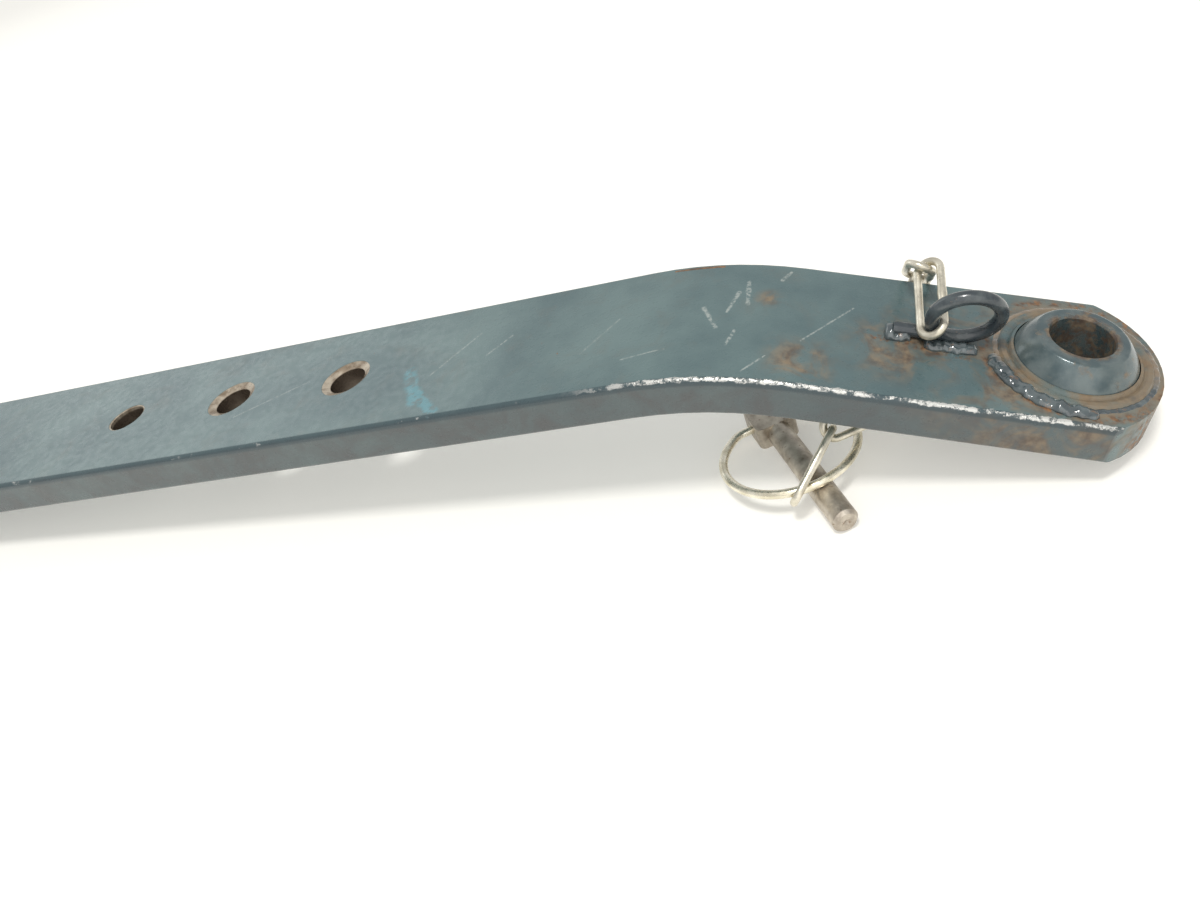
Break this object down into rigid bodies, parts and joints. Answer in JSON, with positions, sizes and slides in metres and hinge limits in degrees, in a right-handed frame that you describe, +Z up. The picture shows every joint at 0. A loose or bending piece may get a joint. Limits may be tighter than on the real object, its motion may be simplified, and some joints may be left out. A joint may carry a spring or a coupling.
{
  "type": "tractor lower link",
  "caption": "Bent flat lower link for a tractor's three-point hitch, with a swaged ball at each end, cross holes for the lift rod and a lynch pin on a chain.",
  "frame": {"origin": "centre of the implement ball", "axes": "+X along the ground towards the implement end, +Y across the bar, +Z up from the ground that both balls rest on"},
  "size_m": [0.745, 0.0965, 0.0677],
  "materials": {
    "paint": "satin",
    "eye_paint": "gloss",
    "weld_paint": "gloss",
    "ball_steel": "satin",
    "zinc": "satin",
    "yellow_zinc": "gloss",
    "pin_steel": "satin"
  },
  "bodies": {
    "link": {"link_bar": "paint", "implement_socket_ring": "paint", "tractor_socket_ring": "paint", "implement_weld_top": "weld_paint", "implement_weld_bottom": "weld_paint", "implement_weld_bead": "weld_paint", "tractor_weld_top": "weld_paint", "tractor_weld_bottom": "weld_paint", "tractor_weld_bead": "weld_paint", "chain_eye": "eye_paint", "eye_tail_weld": "weld_paint", "eye_front_weld": "weld_paint"},
    "implement_ball": {"implement_ball": "ball_steel"},
    "tractor_ball": {"tractor_ball": "ball_steel"},
    "chain_link_1": {"chain_link_1": "zinc"},
    "chain_link_2": {"chain_link_2": "zinc"},
    "chain_link_3": {"chain_link_3": "zinc"},
    "chain_link_4": {"chain_link_4": "zinc"},
    "chain_link_5": {"chain_link_5": "zinc"},
    "chain_link_6": {"chain_link_6": "zinc"},
    "chain_link_7": {"chain_link_7": "zinc"},
    "lynch_ring": {"lynch_ring": "yellow_zinc"},
    "lynch_pin": {"lynch_pin": "pin_steel"}
  },
  "joints": [
    {"name": "implement_ball_swivel", "type": "hinge", "parent": "link", "child": "implement_ball", "pos_m": [0, 0, 0], "axis": [0, 1, 0], "range_deg": [-20, 20]},
    {"name": "tractor_ball_swivel", "type": "hinge", "parent": "link", "child": "tractor_ball", "pos_m": [-0.68391, 0, -0.00275], "axis": [0, 1, 0], "range_deg": [-20, 20]},
    {"name": "link_1_swing", "type": "hinge", "parent": "link", "child": "chain_link_1", "pos_m": [-0.04416, -0.00342, 0.03139], "axis": [0.1193, 0.3409, -0.9325], "range_deg": [0, 43]},
    {"name": "link_2_swing", "type": "hinge", "parent": "chain_link_1", "child": "chain_link_2", "pos_m": [-0.04686, 0.02088, 0.03905], "axis": [0.6811, 0.5421, 0.4922], "range_deg": [0, 50]},
    {"name": "link_3_swing", "type": "hinge", "parent": "chain_link_2", "child": "chain_link_3", "pos_m": [-0.04897, 0.04109, 0.02063], "axis": [0.8768, -0.4519, -0.1642], "range_deg": [0, 60]},
    {"name": "link_4_swing", "type": "hinge", "parent": "chain_link_3", "child": "chain_link_4", "pos_m": [-0.05712, 0.03644, -0.00386], "axis": [-0.2452, -0.3894, 0.8878], "range_deg": [-60, 18]},
    {"name": "link_5_swing", "type": "hinge", "parent": "chain_link_4", "child": "chain_link_5", "pos_m": [-0.06665, 0.016, -0.01424], "axis": [-0.7081, -0.5016, -0.497], "range_deg": [-20, 60]},
    {"name": "link_6_swing", "type": "hinge", "parent": "chain_link_5", "child": "chain_link_6", "pos_m": [-0.06307, -0.0048, -0.00095], "axis": [0.5364, -0.8079, 0.2443], "range_deg": [-10, 60]},
    {"name": "link_7_swing", "type": "hinge", "parent": "chain_link_6", "child": "chain_link_7", "pos_m": [-0.08504, -0.02042, -0.00137], "axis": [-0.6691, 0.0689, 0.74], "range_deg": [-30, 30]},
    {"name": "lynch_ring_swing", "type": "hinge", "parent": "chain_link_7", "child": "lynch_ring", "pos_m": [-0.09552, -0.03856, -0.00947], "axis": [-0.9632, -0.2661, -0.0367], "range_deg": [0, 55]},
    {"name": "lynch_pin_swing", "type": "hinge", "parent": "lynch_ring", "child": "lynch_pin", "pos_m": [-0.11401, 0.00646, -0.01629], "axis": [0.8616, 0.5075, 0], "range_deg": [0, 160]}
  ]
}
